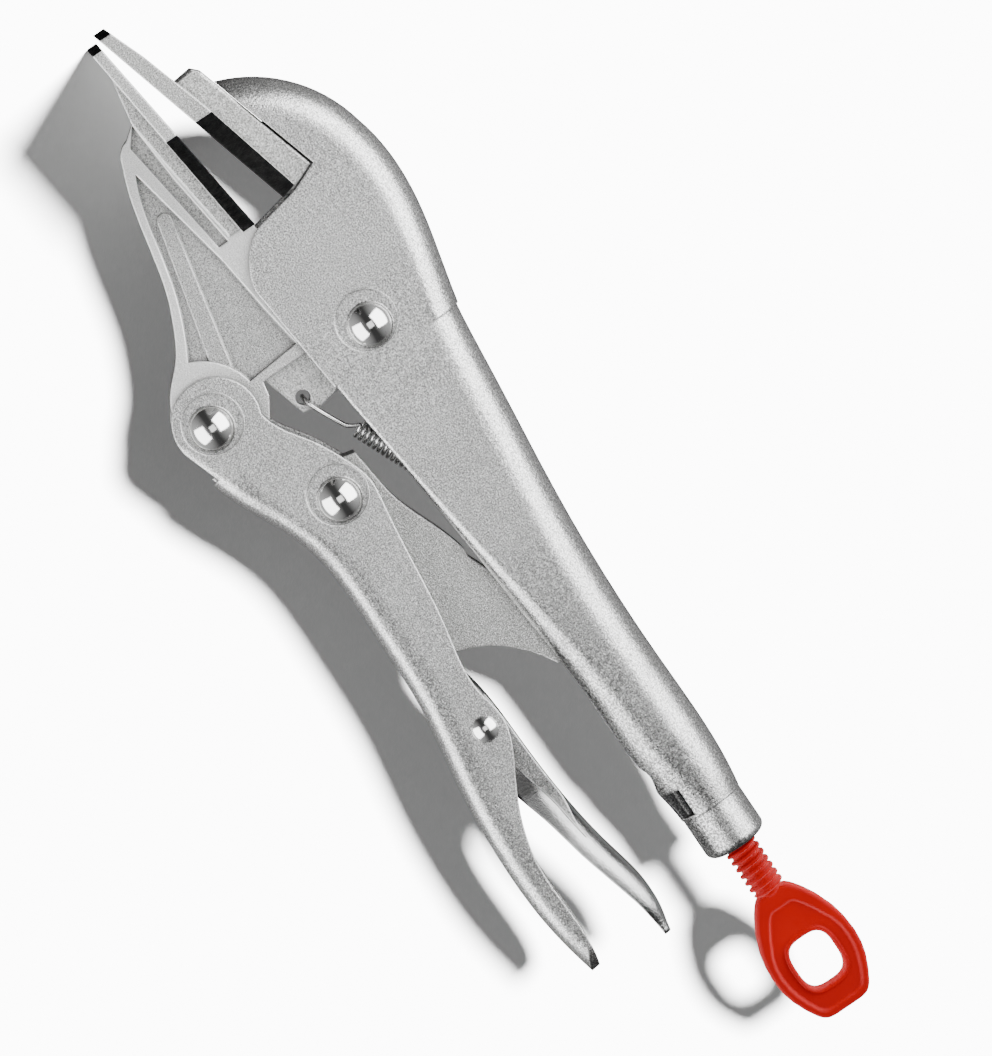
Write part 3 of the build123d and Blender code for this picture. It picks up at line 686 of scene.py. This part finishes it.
# tension spring: close helix with a hook at each end, swept along one line
def sweep(path, radius, sides):
    """Tube of one radius along a path, with a frame carried from point to point."""
    points, tangents = [], []
    for i in range(len(path)):
        a, b = path[max(i - 1, 0)], path[min(i + 1, len(path) - 1)]
        tangents.append((b - a).normalized())
    side = tangents[0].orthogonal().normalized()
    for i, centre in enumerate(path):
        side = (side - tangents[i] * side.dot(tangents[i])).normalized()
        up = tangents[i].cross(side)
        for k in range(sides):
            a = 2 * math.pi * k / sides
            points.append(centre + (side * math.cos(a) + up * math.sin(a)) * radius)
    return points, band_faces(len(path), sides) + end_faces(len(path), sides)


def bezier_run(a, b, c, d, steps):
    """Points along a cubic curve, without its last one."""
    run = []
    for i in range(steps):
        t = i / steps
        run.append(a * (1 - t) ** 3 + b * 3 * t * (1 - t) ** 2 + c * 3 * t * t * (1 - t) + d * t**3)
    return run


COIL_FRONT, COIL_BACK = Vector((84.5, 0.3, 0)), Vector((121.5, 15.9, 0))
COIL_R, WIRE_R, WIRE_SIDES = 1.9, 0.4, 10
TURNS, PER_TURN, COIL_INSET = 39.5, 26, 0.4
coil_axis = (COIL_BACK - COIL_FRONT).normalized()
coil_side = Vector((-coil_axis.y, coil_axis.x, 0))
coil_up = Vector((0, 0, 1))
coil_length = (COIL_BACK - COIL_FRONT).length
helix = []
for i in range(int(TURNS * PER_TURN) + 1):
    a = 2 * math.pi * i / PER_TURN + math.pi / 2
    along = COIL_INSET + (coil_length - 2 * COIL_INSET) * i / (TURNS * PER_TURN)
    helix.append(COIL_FRONT + coil_axis * along + (coil_side * math.cos(a) + coil_up * math.sin(a)) * COIL_R)
arriving = (helix[1] - helix[0]).normalized()
leaving = (helix[-1] - helix[-2]).normalized()

# each hook goes through the middle of its hole: rows of four control points, then how many steps
FRONT_HOOK = [
    ((77.6, -4.6, -2.7), (75.8, -5.4, -3.0), (74.7, -5.2, -2.8), (74.6, -5.1, -1.4), 12),
    ((74.6, -5.1, -1.4), (74.6, -5.1, 0.0), (74.6, -5.1, 2.0), (76.2, -4.8, 2.75), 16),
    ((76.2, -4.8, 2.75), (78.6, -3.8, 2.9), (81.2, -2.6, 2.6), (83.0, -1.6, 2.2), 14),
    ((83.0, -1.6, 2.2), (84.2, -0.8, 2.0), helix[0] - arriving, helix[0], 12),
]
BACK_HOOK = [
    (helix[-1], helix[-1] + leaving, (123.2, 16.4, 1.2), (124.8, 16.6, 1.5), 12),
    ((124.8, 16.6, 1.5), (126.4, 16.9, 1.8), (127.4, 17.2, 1.5), (127.4, 17.2, 0.0), 12),
    ((127.4, 17.2, 0.0), (127.4, 17.2, -1.4), (126.6, 16.9, -1.7), (125.0, 16.6, -1.5), 12),
]


def hook(rows):
    """Points along a hook's curves."""
    path = []
    for *corners, steps in rows:
        path += bezier_run(*[Vector(corner) for corner in corners], steps)
    return path


wire_path = [p * MM for p in hook(FRONT_HOOK) + helix + hook(BACK_HOOK)[1:]]
points, faces = sweep(wire_path, WIRE_R * MM, WIRE_SIDES)
spring = mesh_object("spring_coil", points, faces, wire_look)
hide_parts("tension_spring")
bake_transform(spring)


# ------------------------------------------------------------ studio and view
FLOOR_GAP = 0.0002
FLOOR_X, FLOOR_Y = (-2.0, 2.2), (-2.0, 2.0)
floor_z = CAD_BOX[0][2] - FLOOR_GAP
floor_mesh = bpy.data.meshes.new("studio_floor")
floor_mesh.from_pydata(
    [
        (FLOOR_X[0], FLOOR_Y[0], floor_z), (FLOOR_X[1], FLOOR_Y[0], floor_z),
        (FLOOR_X[1], FLOOR_Y[1], floor_z), (FLOOR_X[0], FLOOR_Y[1], floor_z),
    ],
    [], [(0, 1, 2, 3)],
)
floor = bpy.data.objects.new("studio_floor", floor_mesh)
bpy.context.scene.collection.objects.link(floor)
paper = Graph("studio_paper")
paper.set("Base Color", paper.mix(paper.noise(35.0, 2.0, 0.5), (0.93, 0.93, 0.93), (0.90, 0.90, 0.90)))
paper.set("Roughness", 0.9)
paper.set("Specular IOR Level", 0.1)
floor.data.materials.append(paper.material)

# The camera looks down on the tool, turned so that its right is about (0.565, 0.825).
VIEW_MIDDLE = Vector((114.25, 10.54, 0.0)) * MM
EYE = Vector((-0.2, 0.3, 890.0)) * MM
VIEW_TURN = math.radians(55.6)
forward = (VIEW_MIDDLE - EYE).normalized()
right = Vector((math.cos(VIEW_TURN), math.sin(VIEW_TURN), 0.0))
right = (right - forward * right.dot(forward)).normalized()
upward = -forward.cross(right)
camera_data = bpy.data.cameras.new("studio_camera")
camera_data.sensor_width = 36.0
camera_data.lens = 168.26
camera_data.clip_start = 0.01
camera_data.clip_end = 20.0
camera = bpy.data.objects.new("studio_camera", camera_data)
turn = Matrix((right, upward, -forward)).transposed().to_4x4()
camera.matrix_world = Matrix.Translation(EYE) @ turn
bpy.context.scene.collection.objects.link(camera)
bpy.context.scene.camera = camera

LIGHT_AIM = Vector((0.11, 0.0, 0.0))


def link_group(name, obj, state):
    """Collection that includes or excludes one object for light linking."""
    group = bpy.data.collections.new(name)
    group.objects.link(obj)
    for entry in group.collection_objects:
        entry.light_linking.link_state = state
    return group


def softbox(name, place, size, power):
    """Rectangular area light aimed at the tool's middle, lighting everything but the floor."""
    data = bpy.data.lights.new(name, "AREA")
    data.shape = "RECTANGLE"
    data.size, data.size_y = size
    data.energy = power
    obj = bpy.data.objects.new(name, data)
    direction = (LIGHT_AIM - Vector(place)).normalized()
    facing = direction.to_track_quat("-Z", "X").to_matrix().to_4x4()
    obj.matrix_world = Matrix.Translation(Vector(place)) @ facing
    bpy.context.scene.collection.objects.link(obj)
    obj.light_linking.receiver_collection = link_group(name + "_receivers", floor, "EXCLUDE")


# +Y is the upper right of the camera's picture, and -Y is its lower left
softbox("key_box", (0.06, 0.70, 0.60), (0.95, 1.15), 24.0)
softbox("fill_box", (0.16, -0.72, 0.56), (0.85, 1.10), 16.0)
softbox("top_box", (0.11, 0.05, 1.25), (0.55, 0.55), 1.7)

# the floor has a sun of its own, which the fixed jaw doesn't block
SUN_DIRECTION = Vector((-0.086, 0.319, 1.0))
sun_data = bpy.data.lights.new("floor_key", "SUN")
sun_data.energy = 42.0
sun_data.angle = math.radians(6.5)
floor_key = bpy.data.objects.new("floor_key", sun_data)
floor_key.rotation_euler = SUN_DIRECTION.to_track_quat("Z", "Y").to_euler()
bpy.context.scene.collection.objects.link(floor_key)
floor_key.light_linking.receiver_collection = link_group("floor_key_receivers", floor, "INCLUDE")
floor_key.light_linking.blocker_collection = link_group("floor_key_blockers", nodes["fixed_jaw"], "EXCLUDE")

# the floor isn't reflected, and the red pieces neither tint what is near them nor show in it
floor.visible_glossy = False
for piece in (screw_rod, pull_ring):
    piece.visible_diffuse = False
    piece.visible_glossy = False

# the surroundings glow towards both sides of the tool and are dim towards its two ends
world = bpy.data.worlds.new("studio_world")
world.use_nodes = True
tree = world.node_tree
background = tree.nodes["Background"]
background.inputs[0].default_value = (1.0, 1.0, 1.0, 1.0)
heading = tree.nodes.new("ShaderNodeTexCoord")
split = tree.nodes.new("ShaderNodeSeparateXYZ")
sideways = tree.nodes.new("ShaderNodeMath")
sideways.operation = "ABSOLUTE"
glow = tree.nodes.new("ShaderNodeMapRange")
for socket, value in (("From Min", 0.15), ("From Max", 0.95), ("To Min", 0.05), ("To Max", 0.62)):
    glow.inputs[socket].default_value = value
tree.links.new(heading.outputs["Generated"], split.inputs[0])
tree.links.new(split.outputs["Y"], sideways.inputs[0])
tree.links.new(sideways.outputs[0], glow.inputs["Value"])
tree.links.new(glow.outputs["Result"], background.inputs[1])
bpy.context.scene.world = world
